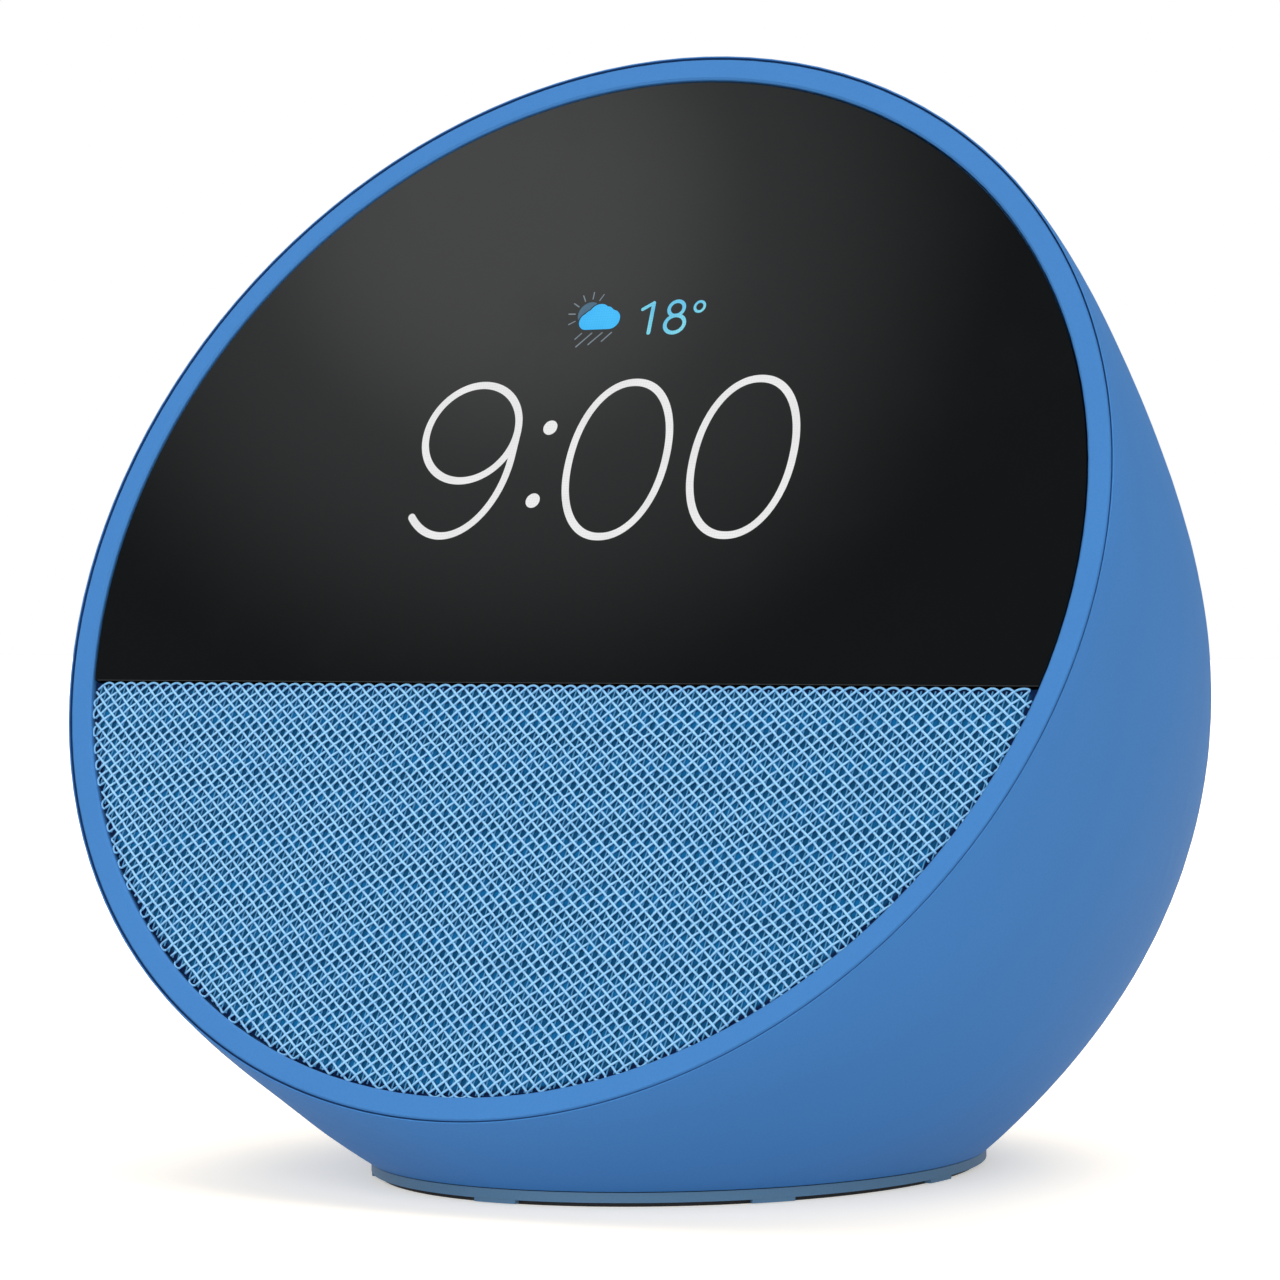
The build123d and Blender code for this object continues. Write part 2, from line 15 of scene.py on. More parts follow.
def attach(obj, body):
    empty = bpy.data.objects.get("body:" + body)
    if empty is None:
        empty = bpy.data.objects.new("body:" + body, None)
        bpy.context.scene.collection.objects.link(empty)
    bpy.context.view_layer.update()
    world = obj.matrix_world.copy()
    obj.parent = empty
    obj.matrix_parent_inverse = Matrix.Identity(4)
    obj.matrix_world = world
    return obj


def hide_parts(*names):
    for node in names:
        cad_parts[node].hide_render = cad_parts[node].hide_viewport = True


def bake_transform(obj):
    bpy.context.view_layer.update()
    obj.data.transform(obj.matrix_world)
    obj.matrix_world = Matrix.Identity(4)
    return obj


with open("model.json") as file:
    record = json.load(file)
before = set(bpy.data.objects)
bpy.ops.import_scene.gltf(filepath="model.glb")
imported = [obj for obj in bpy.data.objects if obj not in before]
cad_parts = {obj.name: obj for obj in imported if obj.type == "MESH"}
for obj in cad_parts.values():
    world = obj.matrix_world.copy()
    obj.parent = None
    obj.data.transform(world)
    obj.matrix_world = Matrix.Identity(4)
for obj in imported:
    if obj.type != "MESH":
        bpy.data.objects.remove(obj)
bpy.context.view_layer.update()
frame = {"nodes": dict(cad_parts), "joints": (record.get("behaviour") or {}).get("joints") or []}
MM = 0.001


# ---- directions and places, from the frame ----
def travel(joint):
    """Direction in which a sliding joint moves its piece."""
    return Vector(next(j["axis"] for j in frame["joints"] if j["name"] == joint)).normalized()


def span(node, direction):
    """Lowest and highest place of a CAD node along a direction, in millimetres."""
    places = [v.co.dot(direction) / MM for v in frame["nodes"][node].data.vertices]
    return min(places), max(places)


ACROSS = Vector((1, 0, 0))
FACE_OUT = travel("cone_travel")
FACE_UP = ACROSS.cross(FACE_OUT) * -1
ring_low, ring_high = span("front_bezel", FACE_UP)
face_front = span("front_bezel", FACE_OUT)[1]
FACE_CENTRE = (FACE_UP * (ring_low + ring_high) / 2 + FACE_OUT * face_front) * MM


def on_face(x, v, out):
    """The point x across, v up and out of the front ring's face."""
    return FACE_CENTRE + (ACROSS * x + FACE_UP * v + FACE_OUT * out) * MM


face_level = FACE_CENTRE.dot(FACE_UP) / MM
lens_front = span("display_lens", FACE_OUT)[1] - face_front
mesh_back, mesh_front = (d - face_front for d in span("grille_fabric", FACE_OUT))
mesh_top = span("grille_fabric", FACE_UP)[1] - face_level
mesh_radius = face_level - span("grille_fabric", FACE_UP)[0]
ring_radius = (ring_high - ring_low) / 2
speaker_level = sum(span("speaker_cone", FACE_UP)) / 2 - face_level


def slot_of(node):
    """The record's material slot of a CAD node."""
    return frame["nodes"][node].material_slots[0].material.name.split(".")[0]


# ---- shader nodes ----
class Signal:
    """A shader socket; arithmetic on it adds Math nodes."""

    def __init__(self, nodes, socket):
        self.nodes = nodes
        self.socket = socket

    def _math(self, operation, first, second):
        return self.nodes.add("Math", {"operation": operation}, {0: first, 1: second})

    def __add__(self, other):
        return self._math("ADD", self, other)

    def __sub__(self, other):
        return self._math("SUBTRACT", self, other)

    def __rsub__(self, other):
        return self._math("SUBTRACT", other, self)

    def __mul__(self, other):
        return self._math("MULTIPLY", self, other)

    def __truediv__(self, other):
        return self._math("DIVIDE", self, other)

    __radd__ = __add__
    __rmul__ = __mul__


class Nodes:
    """The node tree of one finish; add() makes any node."""

    def __init__(self, tree):
        self.tree = tree
        tree.nodes.clear()

    def add(self, kind, settings=None, inputs=None, output=0):
        node = self.tree.nodes.new("ShaderNode" + kind)
        for name, value in (settings or {}).items():
            setattr(node, name, value)
        for key, value in (inputs or {}).items():
            if isinstance(value, Signal):
                self.tree.links.new(value.socket, node.inputs[key])
            else:
                node.inputs[key].default_value = value
        return Signal(self, node.outputs[output]) if node.outputs else None

    def mix(self, share, first, second):
        """A colour between two others."""
        return self.add("Mix", {"data_type": "RGBA"}, {0: share, 6: first, 7: second}, output=2)

    def grain(self, place, size, detail=2.0):
        """Cloudy noise from 0 to 1 whose patches are about size millimetres wide."""
        return self.add("TexNoise", {}, {"Vector": place, "Scale": 1 / (size * MM), "Detail": detail})

    def step(self, value, low, high):
        """0 below low, 1 above high and smooth between them."""
        return self.add("MapRange", {"interpolation_type": "SMOOTHSTEP"},
                        {"Value": value, "From Min": low, "From Max": high})

    def dot(self, place, direction):
        """How far a place lies along a direction, in metres."""
        return self.add("VectorMath", {"operation": "DOT_PRODUCT"}, {0: place, 1: direction}, output="Value")

    def from_centre(self, place):
        """How far a place lies from the axis of the front ring, in millimetres."""
        across = self.dot(place, ACROSS) / MM
        up = self.dot(place, FACE_UP) / MM - face_level
        return self.add("Math", {"operation": "SQRT"}, {0: across * across + up * up})

    def bump(self, height, depth, normal=None):
        """A surface normal pressed by height, up to depth millimetres."""
        inputs = {"Height": height, "Distance": depth * MM}
        if normal:
            inputs["Normal"] = normal
        return self.add("Bump", {}, inputs)


def shade(red, green, blue):
    """A colour from its 0 to 255 display values."""
    values = [c / 255 for c in (red, green, blue)]
    return [c / 12.92 if c <= 0.04045 else ((c + 0.055) / 1.055) ** 2.4 for c in values] + [1.0]


def tone(colour, factor):
    """The same colour, lighter or darker."""
    return [min(1.0, c * factor) for c in colour[:3]] + [1.0]


def finish(name, surface, **choices):
    """A material whose nodes surface() lays out."""
    material = bpy.data.materials.new(name)
    material.use_nodes = True
    nodes = Nodes(material.node_tree)
    place = nodes.add("TexCoord", output="Object")
    nodes.add("OutputMaterial", {}, {"Surface": surface(nodes, place, **choices)})
    material.diffuse_color = choices.get("colour", [0.5, 0.5, 0.5, 1.0])
    return material


# ---- finishes ----
def joint_shade_mask(nodes, place):
    """1 on the walls of the fine joint between the front ring and the housing, where painted shade goes."""
    radius = nodes.from_centre(place)
    sunk = face_front - nodes.dot(place, FACE_OUT) / MM
    past_ring = nodes.step(radius, ring_radius - 0.1, ring_radius - 0.04)
    past_gap = nodes.step(radius, ring_radius + 0.1, ring_radius + 0.12)
    below_lip = nodes.step(sunk, 0.3, 0.5)
    return past_ring * (1 - past_gap) * (1 - below_lip)


def moulded(nodes, place, colour, rough=0.45, spark=0.22, depth=0.004, edge=0.0, gloss=0.3, seam=None):
    """Moulded plastic: a fine spark-eroded skin, a slow drift in colour, and softly rounded edges.

    If a groove colour is given, it is painted shade on the walls of the joint round the front ring.
    """
    skin = nodes.grain(place, spark)
    flow = nodes.grain(place, 18, detail=3.0)
    base = nodes.mix(flow, tone(colour, 0.95), tone(colour, 1.05))
    speckled = nodes.mix(nodes.step(skin, 0.35, 0.7) * 0.25, base, tone(colour, 0.86))
    if seam:
        # painted shade in the groove of the joint round the front ring
        speckled = nodes.mix(joint_shade_mask(nodes, place) * 0.9, speckled, seam)
    soft_edge = nodes.add("Bevel", {"samples": 4}, {"Radius": edge * MM}) if edge else None
    return nodes.add("BsdfPrincipled", {}, {
        "Base Color": speckled,
        "Roughness": rough + (skin - 0.5) * 0.12 + (flow - 0.5) * 0.06,
        "Specular IOR Level": gloss,
        "Normal": nodes.bump(skin, depth, normal=soft_edge),
    })


def yarn(nodes, place, colour, low_colour, bottom, top):
    """Knitted thread: painted light where it stands high and painted shade where it dips low, with fibres
    along it and a soft sheen.
    """
    height = nodes.dot(place, FACE_OUT) / MM
    # painted light and shade: the lit colour where the thread stands high, its shaded copy where it dips low
    painted_light_share = nodes.step(height, face_front + bottom, face_front + top)
    fibres = nodes.grain(place, 0.09, detail=3.0)
    dye = nodes.grain(place, 2.6)
    base = nodes.mix(painted_light_share, low_colour, colour)
    worn = nodes.mix(nodes.step(fibres, 0.4, 0.75) * 0.35 + nodes.step(dye, 0.45, 0.75) * 0.2,
                     base, tone(low_colour, 0.9))
    return nodes.add("BsdfPrincipled", {}, {
        "Base Color": worn,
        "Roughness": 0.62 + fibres * 0.25,
        "Normal": nodes.bump(fibres, 0.03),
        "Sheen Weight": 0.15,
        "Sheen Roughness": 0.4,
    })


def black_glass(nodes, place, colour):
    """Cover glass over a dark screen: polished, with the faintest smears."""
    smear = nodes.grain(place, 9, detail=4.0)
    print_ink = nodes.mix(smear, colour, tone(colour, 1.5))
    return nodes.add("BsdfPrincipled", {}, {
        "Base Color": print_ink,
        "Roughness": 0.03 + nodes.step(smear, 0.45, 0.8) * 0.05,
        "IOR": 1.5,
    })


def lit_dots(nodes, place, colour, second):
    """Light from the screen, with its grid of fine dots and a slight drift across the figure."""
    pitch = 0.14 * MM
    across = nodes.add("Math", {"operation": "PINGPONG"}, {0: nodes.dot(place, ACROSS), 1: pitch}) / pitch
    up = nodes.add("Math", {"operation": "PINGPONG"}, {0: nodes.dot(place, FACE_UP), 1: pitch}) / pitch
    gap = nodes.step(across, 0.0, 0.2) * nodes.step(up, 0.0, 0.2)
    drift = nodes.grain(place, 3.0)
    glow = nodes.mix(nodes.step(drift, 0.3, 0.7), colour, second)
    return nodes.add("BsdfPrincipled", {}, {
        "Base Color": [0.0, 0.0, 0.0, 1.0],
        "Roughness": 0.5,
        "Specular IOR Level": 0.0,
        "Emission Color": nodes.mix(gap, tone(colour, 0.8), glow),
        "Emission Strength": 1.0,
    })


def metal(nodes, place, colour, rough=0.3, line=0.15, along=(1, 0, 0)):
    """Pressed or drawn metal with fine rolling marks."""
    stretch = nodes.add("VectorMath", {"operation": "MULTIPLY"},
                        {0: place, 1: [1 - 0.95 * abs(a) for a in along]})
    marks = nodes.grain(stretch, line, detail=3.0)
    tarnish = nodes.grain(place, 4.0, detail=3.0)
    return nodes.add("BsdfPrincipled", {}, {
        "Base Color": nodes.mix(tarnish, tone(colour, 0.8), colour),
        "Metallic": 1.0,
        "Roughness": rough + (marks - 0.5) * 0.2,
        "Normal": nodes.bump(marks, 0.01),
    })


def soft(nodes, place, colour, pore=0.4, depth=0.05, rough=0.85):
    """Foam, rubber and felt: open pores and an even, matt colour."""
    pores = nodes.add("TexVoronoi", {"feature": "F1"}, {"Vector": place, "Scale": 1 / (pore * MM)})
    dust = nodes.grain(place, 5.0, detail=4.0)
    return nodes.add("BsdfPrincipled", {}, {
        "Base Color": nodes.mix(dust, tone(colour, 0.8), tone(colour, 1.25)),
        "Roughness": rough + (pores - 0.5) * 0.15,
        "Normal": nodes.bump(pores, depth),
    })


def woven(nodes, place, colour, pitch=0.5, depth=0.05, rim=None):
    """Plain-woven cloth: crossed ribs from two waves. If a rim colour is given, it is painted shade along the
    grille's edge, where the cloth meets the ring.
    """
    across, along = (
        nodes.add("TexWave", {"bands_direction": axis},
                  {"Vector": place, "Scale": 0.05 / (pitch * MM), "Distortion": 0.6}, output="Fac")
        for axis in ("X", "Y")
    )
    weave = across * along
    base = nodes.mix(weave, tone(colour, 0.55), tone(colour, 1.2))
    if rim:
        # painted shade along the cloth's side and top edges
        up = nodes.dot(place, FACE_UP) / MM - face_level
        at_side = nodes.step(nodes.from_centre(place), mesh_radius - 0.9, mesh_radius - 0.4)
        at_top = nodes.step(up, mesh_top - 0.8, mesh_top - 0.3)
        base = nodes.mix(1 - (1 - at_side) * (1 - at_top), base, rim)
    return nodes.add("BsdfPrincipled", {}, {
        "Base Color": base,
        "Roughness": 0.8 + (weave - 0.5) * 0.1,
        "Specular IOR Level": 0.1,
        "Normal": nodes.bump(weave, depth),
    })


def circuit(nodes, place, colour):
    """Solder mask over copper tracks, with bare tinned pads here and there."""
    cells = nodes.add("TexVoronoi", {"feature": "DISTANCE_TO_EDGE"},
                      {"Vector": place, "Scale": 1 / (3.2 * MM)})
    tracks = 1 - nodes.step(cells, 0.04, 0.09)
    dots = nodes.add("TexVoronoi", {"feature": "F1"}, {"Vector": place, "Scale": 1 / (2.1 * MM)})
    pads = 1 - nodes.step(dots, 0.16, 0.2)
    mask = nodes.mix(tracks, colour, tone(colour, 1.9))
    return nodes.add("BsdfPrincipled", {}, {
        "Base Color": nodes.mix(pads, mask, shade(196, 188, 160)),
        "Metallic": pads * 0.9,
        "Roughness": 0.3 + pads * 0.1,
        "Normal": nodes.bump(tracks + pads, 0.03),
    })


# colours of the visible mouldings
BLUE = shade(62, 117, 176)
# painted shade for the groove round the front ring
GROOVE_SHADE = shade(26, 56, 104)
BASE_BLUE = shade(76, 110, 138)
GROUND = shade(10, 92, 142)
# painted shade along the grille cloth's edge, where it meets the ring
GROUND_EDGE_SHADE = shade(2, 24, 62)
THREAD = shade(147, 198, 234)
# the threads' painted shade where they dip low; THREAD just above is their painted light where they stand
# high
THREAD_PAINTED_SHADE = shade(82, 150, 200)
UNDER_THREAD = shade(62, 136, 184)

finishes = {
    "blue_plastic": finish("blue_plastic", moulded, colour=BLUE, rough=0.55, edge=0.12, gloss=0.06,
                           seam=GROOVE_SHADE),
    "base_plastic": finish("base_plastic", moulded, colour=BASE_BLUE, rough=0.5, gloss=0.2),
    "button_plastic": finish("button_plastic", moulded, colour=tone(BLUE, 0.95), rough=0.48, edge=0.2,
                             gloss=0.1),
    "lens_glass": finish("lens_glass", black_glass, colour=shade(4, 6, 7)),
    "dark_plastic": finish("dark_plastic", moulded, colour=shade(26, 27, 30), rough=0.55, spark=0.4),
    "foot_rubber": finish("foot_rubber", soft, colour=shade(22, 22, 24), pore=0.6, rough=0.8),
    "adhesive_foam": finish("adhesive_foam", soft, colour=shade(38, 38, 40), pore=0.3),
    "panel_glass": finish("panel_glass", black_glass, colour=shade(20, 24, 30)),
    "sheet_steel": finish("sheet_steel", metal, colour=shade(196, 198, 200), rough=0.32),
    "circuit_board": finish("circuit_board", circuit, colour=shade(12, 70, 48)),
    "chip_black": finish("chip_black", moulded, colour=shade(24, 24, 26), rough=0.5, spark=0.12),
    "basket_steel": finish("basket_steel", metal, colour=shade(92, 94, 98), rough=0.45),
    "surround_rubber": finish("surround_rubber", soft, colour=shade(24, 24, 26), pore=0.2, depth=0.01,
                              rough=0.6),
    "cone_paper": finish("cone_paper", soft, colour=shade(44, 42, 40), pore=0.5, depth=0.04),
    "spider_cloth": finish("spider_cloth", woven, colour=shade(196, 150, 70)),
    "coil_copper": finish("coil_copper", metal, colour=shade(214, 128, 84), rough=0.28, line=0.1,
                          along=(0, 0, 0)),
    "ferrite": finish("ferrite", soft, colour=shade(52, 52, 56), pore=0.25, depth=0.01, rough=0.5),
    "sink_aluminium": finish("sink_aluminium", metal, colour=shade(206, 208, 212), rough=0.36, line=0.2),
    "flex_film": finish("flex_film", moulded, colour=shade(176, 112, 40), rough=0.35, spark=0.5),
    "wire_cover": finish("wire_cover", moulded, colour=shade(150, 30, 30), rough=0.4, spark=0.3),
    "pin_brass": finish("pin_brass", metal, colour=shade(214, 190, 130), rough=0.22),
    "blue_mesh": finish("mesh_ground", woven, colour=GROUND, pitch=0.3, depth=0.03, rim=GROUND_EDGE_SHADE),
}
# both yarns are painted lighter where they stand high and darker, as painted shade, where they dip low
mesh_yarn = finish("mesh_yarn", yarn, colour=THREAD, low_colour=THREAD_PAINTED_SHADE, bottom=-0.55, top=-0.3)
mesh_under_yarn = finish("mesh_under_yarn", yarn, colour=UNDER_THREAD, low_colour=tone(UNDER_THREAD, 0.75),
                         bottom=-0.72, top=-0.52)
clock_light = finish("clock_light", lit_dots, colour=shade(240, 240, 240), second=shade(233, 233, 234))
cloud_light = finish("cloud_light", lit_dots, colour=shade(78, 194, 255), second=shade(70, 186, 250))
sun_light = finish("sun_light", lit_dots, colour=shade(92, 122, 142), second=shade(70, 104, 128))
rain_light = finish("rain_light", lit_dots, colour=shade(140, 152, 160), second=shade(118, 132, 142))
weather_light = finish("weather_light", lit_dots, colour=shade(110, 200, 236), second=shade(142, 226, 236))
icon_ink = finish("icon_ink", moulded, colour=shade(34, 66, 112), rough=0.55)

for node, obj in frame["nodes"].items():
    obj.material_slots[0].material = finishes[slot_of(node)]


# ---- mesh building ----
class Shape:
    """Points and faces of a piece, in millimetres on the face."""

    def __init__(self):
        self.points = []
        self.faces = []

    def ring(self, centre, side, up, sides):
        """One loop of a tube's skin."""
        for i in range(sides):
            turn = 2 * pi * i / sides
            self.points.append(centre + side * cos(turn) + up * sin(turn))

    def tube(self, line, width, height=None, sides=6, closed=False, round_ends=False):
        """A thread or stroke along a line of (x, v, out) points, its section width by height."""
        line = [Vector(p) for p in line]
        half = width / 2
        tall = (height or width) / 2
        stations = []
        count = len(line)
        for i, point in enumerate(line):
            before = line[i - 1] if i or closed else point
            after = line[(i + 1) % count] if i < count - 1 or closed else point
            stations.append((point, (after - before).normalized(), 1.0))
        if round_ends:
            first, last = stations[0], stations[-1]
            bends = [radians(a) for a in (30, 60, 82)]
            head = [(first[0] - first[1] * half * sin(a), first[1], cos(a)) for a in reversed(bends)]
            tail = [(last[0] + last[1] * half * sin(a), last[1], cos(a)) for a in bends]
            stations = head + stations + tail
        start = len(self.points)
        for point, along, share in stations:
            side = Vector((along.y, -along.x, 0)).normalized()
            up = side.cross(along)
            self.ring(point, side * half * share, up * tall, sides)
        rings = len(stations)
        for i in range(rings if closed else rings - 1):
            here = start + i * sides
            there = start + (i + 1) % rings * sides
            for j in range(sides):
                k = (j + 1) % sides
                self.faces.append((here + j, there + j, there + k, here + k))
        if not closed:
            self.faces.append(tuple(start + j for j in range(sides)))
            self.faces.append(tuple(start + (rings - 1) * sides + j for j in reversed(range(sides))))

    def plate(self, outline, low, high):
        """A flat plate with a closed (x, v) outline, anticlockwise, from low to high."""
        start = len(self.points)
        count = len(outline)
        for out in (low, high):
            self.points.extend(Vector((x, v, out)) for x, v in outline)
        self.faces.append(tuple(start + i for i in reversed(range(count))))
        self.faces.append(tuple(start + count + i for i in range(count)))
        for i in range(count):
            k = (i + 1) % count
            self.faces.append((start + i, start + k, start + count + k, start + count + i))

    def make(self, name, material, slot, body="root", place=on_face, smooth=True):
        """The finished piece, riding on its body if it has one."""
        data = bpy.data.meshes.new(name)
        data.from_pydata([place(*p) for p in self.points], [], self.faces)
        data.polygons.foreach_set("use_smooth", [smooth] * len(data.polygons))
        data.materials.append(material)
        data.update()
        piece = bpy.data.objects.new(name, data)
        bpy.context.scene.collection.objects.link(piece)
        if body:
            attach(piece, body)
        return piece


# ---- knitted grille ----
cell_width = 1.43
cell_height = 1.24
thread_width = 0.24
thread_level = (mesh_front + mesh_back) / 2 + 0.08
thread_rise = 0.06
under_width = 0.17
under_level = mesh_back + 0.12
under_lean = 0.12           # across for each millimetre up
loop_reach = 0.25           # how far the edge loops stand out past the threads' ends
edge_radius = mesh_radius - loop_reach + 0.08
edge_top = mesh_top - loop_reach
corner_radius = 1.1
calm_rows = 4.0             # depth below the top edge over which the rows run straight


def edge_room(x, v):
    """How far a place lies inside the edge of the knit, with its rounded corners; negative outside."""
    from_side = edge_radius - sqrt(x * x + v * v)
    from_top = edge_top - v
    if from_side < corner_radius and from_top < corner_radius:
        return corner_radius - sqrt((corner_radius - from_side) ** 2 + (corner_radius - from_top) ** 2)
    return min(from_side, from_top)


def crossing(i, j):
    """Where the threads cross, the knit's rows and columns a little uneven."""
    x = i * cell_width / 2
    v = edge_top - 0.05 + j * cell_height / 2
    spot = Vector((x * 0.9, v * 0.9, 3.7))
    wave = Vector((x * 0.06, v * 0.06, 8.1))
    loose = min(1.0, max(0.0, edge_top - v) / calm_rows)
    dx = 0.11 * noise.noise(spot) + 0.5 * noise.noise(wave)
    dv = 0.09 * noise.noise(spot + Vector((9.3, 0, 0))) + 0.35 * noise.noise(wave + Vector((5.1, 0, 0)))
    return Vector((x + dx, v + dv * loose, 0))


def bulge(x, v):
    """The knit stands a touch prouder in the middle than at its tucked edge."""
    return -0.08 * (1 - min(1.0, max(0.0, edge_room(x, v)) / 0.9)) ** 2


def inside_runs(line):
    """The stretches of a line inside the edge of the knit, cut where they cross it."""
    runs = []
    run = []
    for a, b in zip(line, line[1:]):
        room_a, room_b = edge_room(a.x, a.y), edge_room(b.x, b.y)
        if room_a > 0 and not run:
            run.append(a)
        if room_a * room_b < 0:
            run.append(a.lerp(b, room_a / (room_a - room_b)))
        if room_b > 0:
            run.append(b)
        else:
            if len(run) > 1:
                runs.append(run)
            run = []
    if len(run) > 1:
        runs.append(run)
    return runs


columns = int(edge_radius / (cell_width / 2)) + 3
rows = int((edge_radius + edge_top) / (cell_height / 2)) + 3
loose_ends = []


def lay_threads(lean):
    """One family of slanting threads, weaving over and under the other."""
    knit = Shape()
    for first in range(-columns - rows - 2, columns + rows + 3):
        if first % 2:
            continue
        line = []
        for j in range(3, -rows, -1):
            i = first + lean * j
            here = crossing(i, j)
            rise = thread_rise if (i % 2 == 0) == (lean > 0) else -thread_rise
            after = crossing(i - lean, j - 1)
            line.append(Vector((here.x, here.y, rise)))
            line.append(Vector(((here.x + after.x) / 2, (here.y + after.y) / 2, 0)))
        for run in inside_runs(line):
            if len(run) < 3:
                continue
            points = [(p.x, p.y, thread_level + p.z + bulge(p.x, p.y)) for p in run]
            knit.tube(points, thread_width)
            for end, inner in ((run[0], run[1]), (run[-1], run[-2])):
                if edge_room(end.x, end.y) < 0.01:
                    loose_ends.append((end.to_2d(), (end - inner).to_2d().normalized()))
    return knit


def edge_loops():
    """Rounded loops that join neighbouring threads all round the knit."""
    loops = Shape()
    middle = Vector((0, (edge_top - edge_radius) / 2))
    ends = sorted(loose_ends, key=lambda e: atan2(e[0].y - middle.y, e[0].x - middle.x))
    used = set()
    for k, (a, away_a) in enumerate(ends):
        b, away_b = ends[(k + 1) % len(ends)]
        gap = (b - a).length
        meeting = (b - a).dot(away_a - away_b)
        if k in used or meeting <= 0 or not 0.05 < gap < 1.7:
            continue
        used.update((k, k + 1))
        pull = max(0.32, 0.45 * gap)
        handles = (a, a + away_a * pull, b + away_b * pull, b)
        line = []
        for step in range(9):
            t = step / 8
            weights = ((1 - t) ** 3, 3 * t * (1 - t) ** 2, 3 * t * t * (1 - t), t ** 3)
            x, v = (sum(w * h[n] for w, h in zip(weights, handles)) for n in (0, 1))
            line.append((x, v, thread_level + bulge(x, v) + 0.02))
        loops.tube(line, thread_width * 1.02)
    return loops


def under_threads():
    """The second layer: near-upright threads that show through the cells."""
    layer = Shape()
    for column in range(-columns - 6, columns + 7):
        line = []
        for step in range(int((edge_radius + edge_top) / cell_height * 2) + 4):
            v = edge_top + 0.4 - step * cell_height / 2
            x = column * cell_width / 2 + (v - edge_top) * under_lean
            sway = 0.09 * noise.noise(Vector((x * 0.8, v * 0.8, 1.3)))
            line.append(Vector((x + sway, v, 0)))
        for run in inside_runs(line):
            layer.tube([(p.x, p.y, under_level) for p in run], under_width)
    return layer


def ground_cloth():
    """The backing cloth behind the knit, one thin sheet filling the opening."""
    half_turn = atan2(sqrt(mesh_radius ** 2 - mesh_top ** 2), -mesh_top)
    steps = 96
    outline = []
    for i in range(steps + 1):
        turn = -pi / 2 - half_turn + 2 * half_turn * i / steps
        outline.append((mesh_radius * cos(turn), mesh_radius * sin(turn)))
    cloth = Shape()
    cloth.plate(outline, mesh_back, mesh_back + 0.05)
    return cloth


ground = ground_cloth().make("grille_ground_cloth", finishes["blue_mesh"], "blue_mesh", smooth=False)
knit_pieces = [
    lay_threads(1).make("grille_threads_rising", mesh_yarn, "blue_mesh"),
    lay_threads(-1).make("grille_threads_falling", mesh_yarn, "blue_mesh"),
    edge_loops().make("grille_edge_loops", mesh_yarn, "blue_mesh"),
    under_threads().make("grille_under_threads", mesh_under_yarn, "blue_mesh"),
]
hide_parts("grille_fabric")
opening_width = 2 * sqrt(mesh_radius ** 2 - mesh_top ** 2)
opening_height = mesh_radius + mesh_top
half_angle = atan2(opening_width / 2, -mesh_top)
opening_area = mesh_radius ** 2 * half_angle + mesh_top * opening_width / 2
opening_height * MM
opening_area * MM * MM


# ---- the speaker's soft rings ----
wedge_count = 16
wedge_steps = 4


def half_ring(middle, radius, depth, start, end, steps=8):
    """Points (radius, depth) of a half roll's section, angles in degrees."""
    turns = [radians(start + (end - start) * i / steps) for i in range(steps + 1)]
    return [(middle + radius * cos(t), depth - radius * sin(t)) for t in turns]


def soft_ring(node, section, fixed_radius, moving_radius):
    """A ring of a (radius, depth) section, in wedges; its fixed and moving rims lie at fixed_radius and
    moving_radius.

    Neighbouring wedges share their edge, so the ring stays whole.
    """
    count = len(section)
    for k in range(wedge_count):
        middle = 2 * pi * (k + 0.5) / wedge_count
        wedge = Shape()
        for step in range(wedge_steps + 1):
            turn = middle + pi / wedge_count * (2 * step / wedge_steps - 1)
            wedge.points.extend(
                Vector((r * cos(turn), speaker_level + r * sin(turn), -depth)) for r, depth in section)
        for step in range(wedge_steps):
            here, there = step * count, (step + 1) * count
            for i in range(count):
                j = (i + 1) % count
                wedge.faces.append((here + i, here + j, there + j, there + i))
        wedge.faces.append(tuple(reversed(range(count))))
        wedge.faces.append(tuple(wedge_steps * count + i for i in range(count)))
        slot = slot_of(node)
        piece = wedge.make(f"{node}_wedge_{k + 1:02d}", finishes[slot], slot, body=None, smooth=False)
        rim, edge = (on_face(r * cos(middle), speaker_level + r * sin(middle), 0)
                     for r in (fixed_radius, moving_radius))
        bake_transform(piece)
        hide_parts(node)


rim_front, rim_back = 3.7, 4.1      # depths of the surround's flat rims
surround_low, surround_high = 15.2, 20.2
roll_middle, roll_outer, roll_inner = 17.7, 1.7, 1.35
surround_section = (
    [(surround_low, rim_front)] + half_ring(roll_middle, roll_outer, rim_front, 180, 0)
    + [(surround_high, rim_front), (surround_high, rim_back), (roll_middle + roll_inner, rim_back)]
    + half_ring(roll_middle, roll_inner, rim_front, 0, 180)
    + [(roll_middle - roll_inner, rim_back), (surround_low, rim_back)]
)
spider_low, spider_width = 6.65, 7.6
spider_depth, spider_wave, spider_cloth = 11.0, 0.5, 0.3
crests = [(spider_low + spider_width * i / 8, spider_depth + spider_wave * (i % 2)) for i in range(9)]
spider_section = crests + [(r, depth + spider_cloth) for r, depth in reversed(crests)]
soft_ring("speaker_surround", surround_section, 18.6, 16.3)
soft_ring("spider", spider_section, 13.4, 7.6)


# ---- clock and weather on the screen ----
ink_low = lens_front + 0.005
ink_high = lens_front + 0.035
ink_level = (ink_low + ink_high) / 2
stroke = 0.8


